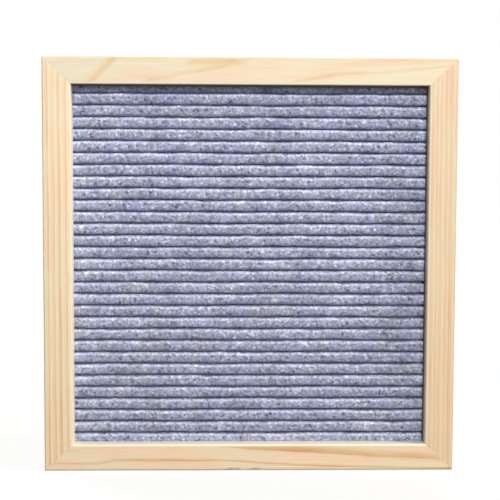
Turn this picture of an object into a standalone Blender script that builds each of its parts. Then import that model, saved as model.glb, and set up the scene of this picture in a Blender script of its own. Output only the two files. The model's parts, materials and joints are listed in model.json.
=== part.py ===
"""A felt letter board: a mitred pine frame round one folded sheet of felt.

Units are metres. +Z is up and the felt faces -Y. The origin is the bottom centre of the
whole board's box, with the hanger on its back included.
"""
import math

import bmesh
import bpy
from mathutils import Matrix, Vector

# Clearance between pieces that touch
GAP = 0.0003

# Points nearer than this are one point, and edges sharper than this stay crisp
WELD = 0.000001
SHARP_ANGLE = math.radians(35)

# Frame
WIDTH = 0.254
HEIGHT = 0.254
DEPTH = 0.020
STILE_FACE = 0.0175
RAIL_FACE = 0.0164
ARRIS = 0.0010
BACK_ARRIS = 0.0006
ARRIS_STEPS = 4

# Rabbet: the lip in front of it covers the panel's edge
LIP_DEPTH = 0.008
LIP_REACH = 0.006

# Felt and the folds that it is pressed into
FELT = 0.0010
FOLD_PITCH = 0.00732
SLOT = 0.0008
SLOT_DEPTH = 0.005
SHOULDER = 0.0013
SHOULDER_STEPS = 3
CROWN = 0.00025
EDGE_ROW = 0.009
SLOTS_RAISED = 0.0009

# Fibreboard core behind the felt
CORE_BASE = 0.003

# Flexible steel points that hold the panel in
TAB_THICK = 0.0005
TAB_WIDTH = 0.006
TAB_IN_WOOD = 0.005
TAB_POINT = 0.003
TAB_TIP = 0.002
TAB_OVER_PANEL = 0.010
TAB_FROM_CORNER = 0.062

# Folded steel wedges across the mitres
V_NAILS_PER_MITRE = 2
V_NAIL_THICK = 0.0005
V_NAIL_LEG = 0.0038
V_NAIL_HEIGHT = 0.008
V_NAIL_SUNK = 0.0006
V_NAIL_FIRST = 0.0036
V_NAIL_STEP = 0.0034

# Hanger, a pressed strip with a raised toothed middle
HANGER_LENGTH = 0.044
HANGER_HEIGHT = 0.0076
HANGER_THICK = 0.0008
HANGER_RISE = 0.0015
HANGER_END = 0.0085
HANGER_RAMP = 0.0022
HANGER_FROM_TOP = 0.0014
TOOTH_COUNT = 6
TOOTH_PITCH = 0.0032
TOOTH_DEPTH = 0.0018
TOOTH_TIP = 0.0006

# Hanger nails
NAIL_SHANK_R = 0.0006
NAIL_HEAD_R = 0.0019
NAIL_HEAD = 0.0007
NAIL_LENGTH = 0.009
NAIL_POINT = 0.0015
NAIL_FROM_END = 0.0038
ROUND_STEPS = 16

# How far a cutter runs past the face that it opens
CUT_PAST = 0.001

# Depths along Y, from the front face back
STAND_OFF = GAP + HANGER_RISE + HANGER_THICK
FRONT = -(DEPTH + STAND_OFF) / 2
BACK = FRONT + DEPTH
LIP_BACK = FRONT + LIP_DEPTH
CREST = LIP_BACK + GAP
SLOT_FLOOR = CREST + SLOT_DEPTH
CORE_BACK = SLOT_FLOOR + FELT + GAP + CORE_BASE

# The panel fills the rabbet, clear of its walls
PANEL_SIDE = WIDTH / 2 - STILE_FACE + LIP_REACH - GAP
PANEL_BOTTOM = RAIL_FACE - LIP_REACH + GAP
PANEL_TOP = HEIGHT - PANEL_BOTTOM

# Which world axes a flat outline's own X, Y and thickness follow
SECTION_AXES = {
    "rail_bottom": ((0, 0, 1), (0, 1, 0)),
    "rail_top": ((0, 0, -1), (0, 1, 0)),
    "stile_left": ((1, 0, 0), (0, 1, 0)),
    "stile_right": ((-1, 0, 0), (0, 1, 0)),
}


def clear_scene():
    """Remove what the file holds and return the collections for the parts and the cutters."""
    for thing in list(bpy.data.objects):
        bpy.data.objects.remove(thing, do_unlink=True)
    made = []
    for name in ("felt_letter_board", "cutters"):
        made.append(bpy.data.collections.new(name))
        bpy.context.scene.collection.children.link(made[-1])
    return made


def material(name, colour, roughness, metallic=0.0):
    made = bpy.data.materials.new(name)
    made.use_nodes = True
    shader = made.node_tree.nodes["Principled BSDF"]
    shader.inputs["Base Color"].default_value = (*colour, 1.0)
    shader.inputs["Roughness"].default_value = roughness
    shader.inputs["Metallic"].default_value = metallic
    return made


def placed(origin, along_x, along_y):
    """The matrix that puts local X and Y along two world directions at a world point."""
    x, y = Vector(along_x), Vector(along_y)
    turn = Matrix((x, y, x.cross(y))).transposed().to_4x4()
    return Matrix.Translation(origin) @ turn


def flat_curve(name, outlines, thickness, matrix):
    """A filled flat outline of half its thickness to each side of its own XY plane."""
    data = bpy.data.curves.new(name, "CURVE")
    data.dimensions = "2D"
    data.fill_mode = "BOTH"
    data.extrude = thickness / 2
    for outline in outlines:
        spline = data.splines.new("POLY")
        spline.points.add(len(outline) - 1)
        for point, (x, y) in zip(spline.points, outline):
            point.co = (x, y, 0, 1)
        spline.use_cyclic_u = True
    thing = bpy.data.objects.new(name, data)
    thing.matrix_world = matrix
    bpy.context.scene.collection.objects.link(thing)
    bpy.context.view_layer.update()
    return thing


def as_mesh(curve, collection, finish=None):
    """The curve as a closed mesh object with the same name and place."""
    name = curve.name
    seen = curve.evaluated_get(bpy.context.evaluated_depsgraph_get())
    mesh = bpy.data.meshes.new_from_object(seen)
    matrix = curve.matrix_world.copy()
    bpy.data.objects.remove(curve, do_unlink=True)
    body = bmesh.new()
    body.from_mesh(mesh)
    bmesh.ops.remove_doubles(body, verts=body.verts, dist=WELD)
    bmesh.ops.recalc_face_normals(body, faces=body.faces)
    body.to_mesh(mesh)
    body.free()
    mesh.name = name
    thing = bpy.data.objects.new(name, mesh)
    thing.matrix_world = matrix
    collection.objects.link(thing)
    if finish:
        mesh.materials.append(finish)
    return thing


def plate(name, outlines, thickness, matrix, collection, finish=None):
    return as_mesh(flat_curve(name, outlines, thickness, matrix), collection, finish)


def as_cutter(thing):
    thing.hide_render = True
    thing.display_type = "WIRE"
    return thing


def cut(thing, cutter):
    boolean = thing.modifiers.new(cutter.name, "BOOLEAN")
    boolean.operation = "DIFFERENCE"
    boolean.solver = "EXACT"
    boolean.object = cutter


def arc(centre, radius, start, end, steps):
    """Points on a circle's arc between two angles in degrees."""
    angles = [math.radians(start + (end - start) * k / steps) for k in range(steps + 1)]
    return [(centre[0] + radius * math.cos(a), centre[1] + radius * math.sin(a)) for a in angles]


# Frame members

def member_section(face):
    """The moulding's section: across it from the outer edge, and in depth from the front."""
    back_inner = face - LIP_REACH
    section = arc((ARRIS, FRONT + ARRIS), ARRIS, 180, 270, ARRIS_STEPS)
    section += arc((face - ARRIS, FRONT + ARRIS), ARRIS, 270, 360, ARRIS_STEPS)
    section += [(face, LIP_BACK), (back_inner, LIP_BACK)]
    section += [(back_inner, BACK - BACK_ARRIS), (back_inner - BACK_ARRIS, BACK)]
    section += [(BACK_ARRIS, BACK), (0, BACK - BACK_ARRIS)]
    return section


def mitre(mesh, face, other_face, half_length, end):
    """Cut one end off along the line from the outer corner to the inner one."""
    body = bmesh.new()
    body.from_mesh(mesh)
    normal = Vector((other_face, 0, end * face)).normalized()
    on_plane = Vector((0, 0, end * half_length)) - normal * GAP / 2
    every = body.verts[:] + body.edges[:] + body.faces[:]
    bmesh.ops.bisect_plane(
        body, geom=every, dist=WELD, plane_co=on_plane, plane_no=normal, clear_outer=True
    )
    rim = [edge for edge in body.edges if edge.is_boundary]
    bmesh.ops.holes_fill(body, edges=rim, sides=0)
    bmesh.ops.recalc_face_normals(body, faces=body.faces)
    body.to_mesh(mesh)
    body.free()


def frame_member(name, origin, length, face, other_face, collection, wood):
    matrix = placed(origin, *SECTION_AXES[name])
    thing = plate(name, [member_section(face)], length, matrix, collection, wood)
    for end in (-1, 1):
        mitre(thing.data, face, other_face, length / 2, end)
    thing.data.shade_smooth()
    thing.data.set_sharp_from_angle(angle=SHARP_ANGLE)
    return thing


def frame(collection, wood):
    middle = HEIGHT / 2
    rail = (WIDTH, RAIL_FACE, STILE_FACE, collection, wood)
    stile = (HEIGHT, STILE_FACE, RAIL_FACE, collection, wood)
    return {
        "bottom": frame_member("rail_bottom", (0, 0, 0), *rail),
        "top": frame_member("rail_top", (0, 0, HEIGHT), *rail),
        "left": frame_member("stile_left", (-WIDTH / 2, 0, middle), *stile),
        "right": frame_member("stile_right", (WIDTH / 2, 0, middle), *stile),
    }


# Felt and core

def slot_heights():
    """The slots' heights, spaced evenly about the panel's middle and raised a little."""
    room = PANEL_TOP - PANEL_BOTTOM - 2 * EDGE_ROW
    count = int(room / FOLD_PITCH) + 1
    middle = (PANEL_TOP + PANEL_BOTTOM) / 2 + SLOTS_RAISED
    return [middle + FOLD_PITCH * (k - (count - 1) / 2) for k in range(count)]


def shoulder(corner, radius, inward, steps):
    """A row's rounded edge, with the row above it for inward 1 and below it for -1.

    Where no radius is left it is the bare corner.
    """
    if radius < WELD:
        return [corner]
    start, end = (270, 180) if inward > 0 else (180, 90)
    return arc((corner[0] + radius, corner[1] + inward * radius), radius, start, end, steps)


def folds(behind):
    """The folded face, bottom to top as (depth, height), a distance behind the felt's front.

    Each row runs between two slots. Its shoulders are quarter circles, and its middle stands
    proud by the crown.
    """
    edges = [PANEL_BOTTOM, *slot_heights(), PANEL_TOP]
    crest = CREST + behind
    radius = SHOULDER - behind
    steps = SHOULDER_STEPS if behind == 0 else 1
    points = []
    for row, (low, high) in enumerate(zip(edges, edges[1:])):
        first, last = row == 0, row == len(edges) - 2
        low += 0 if first else SLOT / 2 + behind
        high -= 0 if last else SLOT / 2 + behind
        flank = crest + CROWN
        if first:
            points.append((flank, low))
        else:
            points.append((SLOT_FLOOR + behind, low))
            points += shoulder((flank, low), radius, 1, steps)
        points.append((crest, (low + high) / 2))
        if last:
            points.append((flank, high))
        else:
            points += shoulder((flank, high), radius, -1, steps)
            points.append((SLOT_FLOOR + behind, high))
    return points


def felt_sheet(collection, felt):
    outline = folds(0) + folds(FELT)[::-1]
    matrix = placed((0, 0, 0), (0, 1, 0), (0, 0, 1))
    return plate("felt_sheet", [outline], 2 * PANEL_SIDE, matrix, collection, felt)


def core_board(collection, fibreboard):
    outline = folds(FELT + GAP) + [(CORE_BACK, PANEL_TOP), (CORE_BACK, PANEL_BOTTOM)]
    matrix = placed((0, 0, 0), (0, 1, 0), (0, 0, 1))
    return plate("core_board", [outline], 2 * PANEL_SIDE, matrix, collection, fibreboard)


# Fixings in the back

def tab_outline():
    """A strip with a point in the wood and a round end over the panel."""
    half, tip = TAB_WIDTH / 2, TAB_TIP / 2
    start = TAB_POINT - TAB_IN_WOOD
    point = [(start, half), (-TAB_IN_WOOD, tip), (-TAB_IN_WOOD, -tip), (start, -half)]
    return point + arc((TAB_OVER_PANEL - half, 0), half, -90, 90, ROUND_STEPS // 2)


def tab_slot_outline():
    half = TAB_WIDTH / 2 + GAP
    deep = TAB_IN_WOOD + GAP
    return [(-deep, -half), (CUT_PAST, -half), (CUT_PAST, half), (-deep, half)]


def retaining_tabs(members, collection, cutters, steel):
    depth = CORE_BACK + GAP + TAB_THICK / 2
    wall_x = WIDTH / 2 - STILE_FACE + LIP_REACH
    wall_low = RAIL_FACE - LIP_REACH
    at_x = WIDTH / 2 - TAB_FROM_CORNER
    at_low, at_high = TAB_FROM_CORNER, HEIGHT - TAB_FROM_CORNER
    seats = [
        ("bottom", (-at_x, depth, wall_low), (0, 0, 1)),
        ("bottom", (at_x, depth, wall_low), (0, 0, 1)),
        ("top", (-at_x, depth, HEIGHT - wall_low), (0, 0, -1)),
        ("top", (at_x, depth, HEIGHT - wall_low), (0, 0, -1)),
        ("left", (-wall_x, depth, at_low), (1, 0, 0)),
        ("left", (-wall_x, depth, at_high), (1, 0, 0)),
        ("right", (wall_x, depth, at_low), (-1, 0, 0)),
        ("right", (wall_x, depth, at_high), (-1, 0, 0)),
    ]
    for number, (side, place, inward) in enumerate(seats, 1):
        across = Vector((0, 1, 0)).cross(Vector(inward))
        matrix = placed(place, inward, across)
        plate(f"retaining_tab_{number}", [tab_outline()], TAB_THICK, matrix, collection, steel)
        thick = TAB_THICK + 2 * GAP
        slot = plate(f"tab_slot_{number}", [tab_slot_outline()], thick, matrix, cutters)
        cut(members[side], as_cutter(slot))


def v_outline(along_rail, along_stile, thick, leg):
    """Two legs at a right angle, along the rail and along the stile, about their bend."""
    half = thick / 2
    outline = [(-half, -half), (leg, -half), (leg, half), (half, half), (half, leg), (-half, leg)]
    return [(x * along_rail, z * along_stile) for x, z in outline]


def v_nails(members, collection, cutters, steel):
    """Two wedges on each mitre's line, their bends towards the frame's outer corner."""
    slope = RAIL_FACE / STILE_FACE
    number = 0
    for side_x, stile in ((-1, "left"), (1, "right")):
        for side_z, rail in ((-1, "bottom"), (1, "top")):
            corner_z = 0 if side_z < 0 else HEIGHT
            for step in range(V_NAILS_PER_MITRE):
                number += 1
                inset = V_NAIL_FIRST + step * V_NAIL_STEP
                x = side_x * (WIDTH / 2 - inset)
                z = corner_z - side_z * inset * slope
                depth = BACK - V_NAIL_SUNK - V_NAIL_HEIGHT / 2
                outline = v_outline(-side_x, -side_z, V_NAIL_THICK, V_NAIL_LEG)
                matrix = placed((x, depth, z), (1, 0, 0), (0, 0, 1))
                name = f"v_nail_{number}"
                plate(name, [outline], V_NAIL_HEIGHT, matrix, collection, steel)
                wide, leg = V_NAIL_THICK + 2 * GAP, V_NAIL_LEG + GAP
                outline = v_outline(-side_x, -side_z, wide, leg)
                deep = V_NAIL_HEIGHT + GAP + V_NAIL_SUNK + CUT_PAST
                depth = BACK + CUT_PAST - deep / 2
                matrix = placed((x, depth, z), (1, 0, 0), (0, 0, 1))
                slot = as_cutter(plate(f"v_slot_{number}", [outline], deep, matrix, cutters))
                cut(members[stile], slot)
                cut(members[rail], slot)


# Hanger and its nails

def hanger_z():
    return HEIGHT - HANGER_FROM_TOP - HANGER_HEIGHT / 2


def hanger_strip_outline():
    """The strip seen from above: flat ends on the wood and a raised middle."""
    seat = BACK + GAP
    half = HANGER_LENGTH / 2
    foot, knee = half - HANGER_END, half - HANGER_END - HANGER_RAMP
    # The slanting wall's two faces are set apart so that it is as thick as the strip
    slant = math.hypot(HANGER_RAMP, HANGER_RISE)
    lean = HANGER_THICK * (slant - HANGER_RAMP) / HANGER_RISE
    under = [(-half, seat), (-foot, seat), (-knee, seat + HANGER_RISE)]
    under += [(-x, y) for x, y in under[::-1]]
    over = [(-half, seat), (-foot - lean, seat), (-knee - lean, seat + HANGER_RISE)]
    over = [(x, y + HANGER_THICK) for x, y in over]
    over += [(-x, y) for x, y in over[::-1]]
    return under + over[::-1]


def tooth_notches(lower_edge):
    notches = []
    for k in range(TOOTH_COUNT):
        x = TOOTH_PITCH * (k - (TOOTH_COUNT - 1) / 2)
        half = (TOOTH_PITCH - TOOTH_TIP) / 2
        spread = half * (1 + CUT_PAST / TOOTH_DEPTH)
        below = lower_edge - CUT_PAST
        notches.append([(x - spread, below), (x + spread, below), (x, lower_edge + TOOTH_DEPTH)])
    return notches


def peg(name, radius, low, high, place, collection):
    """A round cutter along Y."""
    bpy.ops.mesh.primitive_cylinder_add(
        vertices=ROUND_STEPS, radius=radius, depth=high - low,
        location=(place[0], (low + high) / 2, place[1]), rotation=(math.pi / 2, 0, 0),
    )
    thing = bpy.context.active_object
    thing.name = name
    for old in thing.users_collection:
        old.objects.unlink(thing)
    collection.objects.link(thing)
    return as_cutter(thing)


def hanger(members, collection, cutters, steel):
    z = hanger_z()
    matrix = placed((0, 0, z), (1, 0, 0), (0, 1, 0))
    outline = hanger_strip_outline()
    strip = plate("sawtooth_hanger", [outline], HANGER_HEIGHT, matrix, collection, steel)
    matrix = placed((0, BACK + STAND_OFF / 2, 0), (1, 0, 0), (0, 0, 1))
    lower_edge = z - HANGER_HEIGHT / 2
    deep = STAND_OFF + 2 * CUT_PAST
    notches = plate("tooth_notches", tooth_notches(lower_edge), deep, matrix, cutters)
    cut(strip, as_cutter(notches))
    for side, word in ((-1, "left"), (1, "right")):
        place = (side * (HANGER_LENGTH / 2 - NAIL_FROM_END), z)
        low, high = BACK - CUT_PAST, BACK + STAND_OFF + CUT_PAST
        radius = NAIL_SHANK_R + GAP
        cut(strip, peg(f"strip_hole_{word}", radius, low, high, place, cutters))
        low = BACK + 2 * GAP + HANGER_THICK - NAIL_LENGTH - GAP
        high = BACK + CUT_PAST
        cut(members["top"], peg(f"nail_hole_{word}", radius, low, high, place, cutters))
        hanger_nail(f"hanger_nail_{word}", place, collection, steel)


def hanger_nail(name, place, collection, steel):
    """A turned nail: a flat head, a round shank and a cone for its point."""
    profile = [
        (0, NAIL_HEAD), (NAIL_HEAD_R, NAIL_HEAD), (NAIL_HEAD_R, 0), (NAIL_SHANK_R, 0),
        (NAIL_SHANK_R, NAIL_POINT - NAIL_LENGTH), (0, -NAIL_LENGTH),
    ]
    mesh = bpy.data.meshes.new(name)
    edges = [(k, k + 1) for k in range(len(profile) - 1)]
    mesh.from_pydata([(r, 0, h) for r, h in profile], edges, [])
    mesh.materials.append(steel)
    thing = bpy.data.objects.new(name, mesh)
    under_head = BACK + 2 * GAP + HANGER_THICK
    thing.matrix_world = placed((place[0], under_head, place[1]), (1, 0, 0), (0, 0, -1))
    collection.objects.link(thing)
    screw = thing.modifiers.new("turn", "SCREW")
    screw.axis = "Z"
    screw.steps = ROUND_STEPS
    screw.render_steps = ROUND_STEPS
    screw.use_merge_vertices = True
    screw.merge_threshold = 0.00001
    return thing


def build():
    parts, cutters = clear_scene()
    wood = material("frame_pine", (0.86, 0.68, 0.45), 0.55)
    felt = material("board_felt", (0.37, 0.38, 0.45), 0.95)
    fibreboard = material("core_fibreboard", (0.36, 0.24, 0.14), 0.85)
    steel = material("fixing_steel", (0.62, 0.62, 0.60), 0.35, 1.0)
    members = frame(parts, wood)
    felt_sheet(parts, felt)
    core_board(parts, fibreboard)
    retaining_tabs(members, parts, cutters, steel)
    v_nails(members, parts, cutters, steel)
    hanger(members, parts, cutters, steel)


build()
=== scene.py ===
# %% [markdown]
# # A felt letter board
#
# The board is four pine members round one sheet of grey felt. The felt is folded into soft
# ridges, and the slots between the ridges hold the tabs of plastic letters. This lesson gives
# a finished look to a model whose pieces already have their sizes and places.
#
# The first cell loads that model.

import json
import math

import bmesh
import bpy
import numpy as np
from mathutils import Matrix, Vector

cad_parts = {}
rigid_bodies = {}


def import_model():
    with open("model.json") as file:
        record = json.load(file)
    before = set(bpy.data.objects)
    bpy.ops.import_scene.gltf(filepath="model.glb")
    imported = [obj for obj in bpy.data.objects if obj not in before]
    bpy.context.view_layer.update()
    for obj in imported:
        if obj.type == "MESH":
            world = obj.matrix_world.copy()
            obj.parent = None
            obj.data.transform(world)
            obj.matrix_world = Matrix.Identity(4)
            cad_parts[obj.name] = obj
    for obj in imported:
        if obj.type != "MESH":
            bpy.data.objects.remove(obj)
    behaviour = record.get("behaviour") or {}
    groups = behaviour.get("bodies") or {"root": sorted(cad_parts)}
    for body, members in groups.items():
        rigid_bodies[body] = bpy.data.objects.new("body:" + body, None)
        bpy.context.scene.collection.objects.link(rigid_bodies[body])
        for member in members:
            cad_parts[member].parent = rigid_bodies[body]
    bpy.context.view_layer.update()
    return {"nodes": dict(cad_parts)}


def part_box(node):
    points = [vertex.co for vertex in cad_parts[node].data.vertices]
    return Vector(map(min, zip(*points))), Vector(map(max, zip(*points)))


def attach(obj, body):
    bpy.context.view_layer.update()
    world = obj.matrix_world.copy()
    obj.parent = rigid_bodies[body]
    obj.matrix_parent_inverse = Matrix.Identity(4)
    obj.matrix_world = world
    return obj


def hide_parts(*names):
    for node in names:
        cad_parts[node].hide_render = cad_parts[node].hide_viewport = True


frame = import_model()
nodes = frame["nodes"]
for thing in [o for o in bpy.data.objects if o.type in {"CAMERA", "LIGHT"} or o.name == "Cube"]:
    bpy.data.objects.remove(thing, do_unlink=True)

# %% [markdown]
# ## Sizes read from the model
#
# Every surface below is worked out from the boxes of the pieces that it stands for. Reading
# them here, once, keeps the visual pieces in step with the model when a size changes.

# %% Sizes
MM = 0.001
bottom_low, bottom_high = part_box("rail_bottom")
left_low, left_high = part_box("stile_left")
felt_low, felt_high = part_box("felt_sheet")

FRONT, BACK = bottom_low.y, bottom_high.y
LEFT, RIGHT = left_low.x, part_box("stile_right")[1].x
BOTTOM, TOP = bottom_low.z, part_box("rail_top")[1].z
STILE_FACE = left_high.x - left_low.x
RAIL_FACE = bottom_high.z - bottom_low.z
CREST, FELT_BACK = felt_low.y, felt_high.y
print("faces in mm:", round(STILE_FACE / MM, 1), round(RAIL_FACE / MM, 1))

# %% [markdown]
# ## The camera
#
# The photograph was taken from a little left of the middle, half a metre away, tipped down by
# less than three degrees. A camera like it was fitted to the frame's twelve edges and to the
# thirty slots, which gives its place, its angles and its focal length in pixels.

# %% Camera
IMAGE = 500
EYE = (-0.02347, FRONT - 0.47511, 0.14452)
YAW, PITCH, ROLL = (math.radians(a) for a in (0.958, -2.743, 0.138))
FOCAL_PX = 774.08
CENTRE_PX = (225.0, 275.0)
SENSOR_MM = 36.0


def camera_axes(yaw, pitch, roll):
    """Right, up and backward directions: yaw turns right from +Y, pitch lifts, roll leans."""
    level_ahead = np.array([math.sin(yaw), math.cos(yaw), 0.0])
    ahead = level_ahead * math.cos(pitch) + np.array([0.0, 0.0, math.sin(pitch)])
    level = np.array([math.cos(yaw), -math.sin(yaw), 0.0])
    upward = np.cross(level, ahead)
    right = level * math.cos(roll) + upward * math.sin(roll)
    return right, -level * math.sin(roll) + upward * math.cos(roll), -ahead


def add_object(name, data):
    """A new object that holds the data, linked to the scene."""
    thing = bpy.data.objects.new(name, data)
    bpy.context.scene.collection.objects.link(thing)
    return thing


def add_camera():
    """A camera at the eye, whose lens and shift give the fitted focal length and centre."""
    data = bpy.data.cameras.new("photo_camera")
    data.sensor_width = SENSOR_MM
    data.lens = FOCAL_PX * SENSOR_MM / IMAGE
    data.shift_x = (IMAGE / 2 - CENTRE_PX[0]) / IMAGE
    data.shift_y = (CENTRE_PX[1] - IMAGE / 2) / IMAGE
    data.clip_start = 0.01
    camera = add_object("photo_camera", data)
    turn = Matrix(camera_axes(YAW, PITCH, ROLL)).transposed().to_4x4()
    camera.matrix_world = Matrix.Translation(EYE) @ turn
    bpy.context.scene.camera = camera
    return camera


camera = add_camera()
print("lens in mm:", round(camera.data.lens, 1))

# %% [markdown]
# ## Shader formulas in Python
#
# A pattern in a material is a formula, and a formula reads best as one. `Value` wraps a
# node's output, so that `1 - mask * 0.5` adds its own Math nodes. `Paint` holds a material or
# the world, and its `node` method makes any node from its type, its settings and its inputs.

# %% Shader helpers


def operator(operation, swapped=False):
    """A method that adds one Math node; swapped when the number stands first, as in 1 - a."""
    if swapped:
        return lambda self, other: self.paint.maths(operation, other, self)
    return lambda self, other: self.paint.maths(operation, self, other)


class Value:
    """A node's output that can be used in a formula."""

    def __init__(self, paint, socket):
        self.paint = paint
        self.socket = socket

    __add__, __radd__ = operator("ADD"), operator("ADD", True)
    __sub__, __rsub__ = operator("SUBTRACT"), operator("SUBTRACT", True)
    __mul__, __rmul__ = operator("MULTIPLY"), operator("MULTIPLY", True)
    __truediv__, __pow__ = operator("DIVIDE"), operator("POWER")


def colour(red, green, blue):
    """A colour from its 0 to 255 screen values, in the linear values that nodes take."""
    share = np.array([red, green, blue]) / 255
    linear = np.where(share <= 0.04045, share / 12.92, ((share + 0.055) / 1.055) ** 2.4)
    return (*linear.tolist(), 1.0)


class Paint:
    """One material, or the world: its shader and the nodes that feed it."""

    def __init__(self, owner, **constants):
        """The owner is a world, or a new material's name; constants go on its shader."""
        self.material = bpy.data.materials.new(owner) if isinstance(owner, str) else owner
        self.material.use_nodes = True
        self.tree = self.material.node_tree
        self.shader = self.tree.nodes.get("Principled BSDF") or self.tree.nodes["Background"]
        for socket, value in constants.items():
            self.shader.inputs[socket.replace("_", " ")].default_value = value

    def feed(self, socket, value):
        """Links a node's output to a socket, or writes a plain value on it."""
        if isinstance(value, Value):
            self.tree.links.new(value.socket, socket)
        else:
            socket.default_value = value

    def node(self, kind, settings=None, inputs=None, output=0):
        """A node of any kind: settings first, then its sockets; gives one of its outputs."""
        made = self.tree.nodes.new("ShaderNode" + kind)
        for name, value in (settings or {}).items():
            setattr(made, name, value)
        for name, value in (inputs or {}).items():
            self.feed(made.inputs[name], value)
        return Value(self, made.outputs[output])

    def maths(self, operation, a, b=0.0):
        """One Math node for two numbers, or for one."""
        return self.node("Math", {"operation": operation}, {0: a, 1: b})

    def place(self):
        """The point that is shaded, in metres from the object's own origin."""
        return self.node("TexCoord", output="Object")

    def split(self, vector, kind="SeparateXYZ"):
        """A vector's, or a colour's, three numbers."""
        made = self.node(kind, inputs={0: vector})
        sockets = made.socket.node.outputs
        return [Value(self, sockets[axis]) for axis in range(3)]

    def join(self, x, y, z):
        """A vector from three numbers."""
        return self.node("CombineXYZ", inputs={0: x, 1: y, 2: z})

    def noise(self, vector, scale, detail=2.0, roughness=0.5, distortion=0.0):
        """Fractal noise about 0.5, scale bumps to the metre."""
        inputs = {"Vector": vector, "Scale": scale, "Detail": detail}
        inputs |= {"Roughness": roughness, "Distortion": distortion}
        return self.node("TexNoise", inputs=inputs, output="Fac")

    def ramp(self, value, stops):
        """Numbers or colours at chosen places from 0 to 1, blended between them."""
        found = self.node("ValToRGB", inputs={0: value})
        ramp = found.socket.node.color_ramp
        ramp.interpolation = "LINEAR"
        while len(ramp.elements) < len(stops):
            ramp.elements.new(1.0)
        for element, (at, tone) in zip(ramp.elements, stops):
            element.position = at
            element.color = tone if isinstance(tone, tuple) else (tone, tone, tone, 1.0)
        return found

    def number(self, value, stops):
        """A ramp of plain numbers, as one number."""
        return self.node("RGBToBW", inputs={0: self.ramp(value, stops)})

    def mix(self, factor, first, second, blend="MIX"):
        """Two colours, blended by a factor from 0 for the first to 1 for the second."""
        settings = {"data_type": "RGBA", "blend_type": blend}
        return self.node("Mix", settings, {0: factor, 6: first, 7: second}, output=2)

    def span(self, value, low, high, to_low=0.0, to_high=1.0, ease="SMOOTHSTEP"):
        """Value moved from one range to another, held at its ends."""
        inputs = {0: value, 1: low, 2: high, 3: to_low, 4: to_high}
        return self.node("MapRange", {"interpolation_type": ease, "clamp": True}, inputs)

    def bell(self, value, middle, reach):
        """e ^ -((value - middle) / reach) ^ 2: 1 in the middle, fading to both sides."""
        return self.maths("EXPONENT", 0 - ((value - middle) / reach) ** 2.0)

    def tint(self, tone, shade):
        """A colour times one number."""
        return self.mix(1.0, tone, self.join(shade, shade, shade), "MULTIPLY")

    def bump(self, height, distance, strength=1.0):
        """Relief from a height between 0 and 1, a distance deep, as the shader's normal."""
        inputs = {"Height": height, "Distance": distance, "Strength": strength}
        self.set("Normal", self.node("Bump", inputs=inputs))

    def set(self, socket, value):
        """Feeds one of the shader's own sockets, named as in Blender."""
        self.feed(self.shader.inputs[socket], value)


print("pale pine in linear values:", np.round(colour(246, 226, 196), 3).tolist())

# %% [markdown]
# ## Surfaces from arrays
#
# A surface that follows a formula is a grid: row and column numbers go in, points come out.
# The faces are the grid's cells, so they are worked out as whole arrays too. A profile that
# closes on itself gives a tube of cells, and two flat caps then make it a closed solid.

# %% Mesh helpers
SAME_POINT = 1e-7


def grid_cells(rows, columns):
    """Four corner numbers of each cell of a grid whose last column meets its first."""
    row, column = np.arange(rows - 1)[:, None] * columns, np.arange(columns)
    here, beside = row + column, row + (column + 1) % columns
    return np.stack([here, beside, beside + columns, here + columns], axis=-1).reshape(-1, 4)


def mesh_object(name, points, faces):
    """An object at the origin whose mesh holds the points and faces, with faces pointing out."""
    mesh = bpy.data.meshes.new(name)
    mesh.from_pydata(points.tolist(), [], faces)
    body = bmesh.new()
    body.from_mesh(mesh)
    bmesh.ops.remove_doubles(body, verts=body.verts, dist=SAME_POINT)
    bmesh.ops.recalc_face_normals(body, faces=body.faces)
    body.to_mesh(mesh)
    body.free()
    return add_object(name, mesh)


def tube_object(name, grid):
    """A closed solid from a grid of points: rows along it, columns round its section."""
    rows, columns = grid.shape[:2]
    faces = grid_cells(rows, columns).tolist()
    faces.append(list(range(columns)))
    faces.append(list(range((rows - 1) * columns, rows * columns)))
    return mesh_object(name, grid.reshape(-1, 3), faces)


def waves(at, longest, shortest, count, seed):
    """A smooth wandering line: sines of random phase, from long waves to short ones.

    The sum is scaled so that it mostly stays between -1 and 1.
    """
    rng = np.random.default_rng(seed)
    lengths = np.geomspace(longest, shortest, count)
    phases = rng.uniform(0, 2 * np.pi, count)
    share = np.sqrt(lengths / lengths.sum())
    turns = np.asarray(at)[..., None] / lengths
    return (share * np.sin(2 * np.pi * turns + phases)).sum(-1)


def arc_points(centre, radius, start, end, steps):
    """Points on a quarter circle or any other arc, angles in degrees."""
    angle = np.radians(np.linspace(start, end, steps + 1))
    return np.array(centre) + radius * np.stack([np.cos(angle), np.sin(angle)], axis=-1)


def run_points(start, end, steps):
    """Points along a straight run, without its two ends."""
    share = np.linspace(0, 1, steps + 1)[1:-1, None]
    return np.array(start) * (1 - share) + np.array(end) * share


print("cells of a 3 by 4 grid:", len(grid_cells(3, 4)))

# %% [markdown]
# ## Pine members
#
# Each member is one length of moulding with its ends cut at the mitre. It could be a long box
# cut by two planes, but one formula does both: the mitre takes off more length nearer the
# opening, so a point's distance from the outer edge says how far along the member may reach.
# Every row of the grid is the whole section, squeezed towards the middle where the member is
# shorter. The joint is left a hair open, as a glued mitre shows.
#
# The wood is handled goods. A slow wander in the surface keeps the highlights alive, and a few
# dents go where the photograph has them.

# %% Member shape
ARRIS = 1.0 * MM
BACK_ARRIS = 0.6 * MM
LIP_ARRIS = 0.3 * MM
LIP_REACH = STILE_FACE - (felt_low.x - LEFT) + 0.3 * MM
LIP_DEPTH = CREST - 0.3 * MM - FRONT
MITRE_OPEN = 0.05 * MM
WANDER = 0.045 * MM
ROW_SPACING = 0.6 * MM
SHARP_FROM = math.radians(38)


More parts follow.
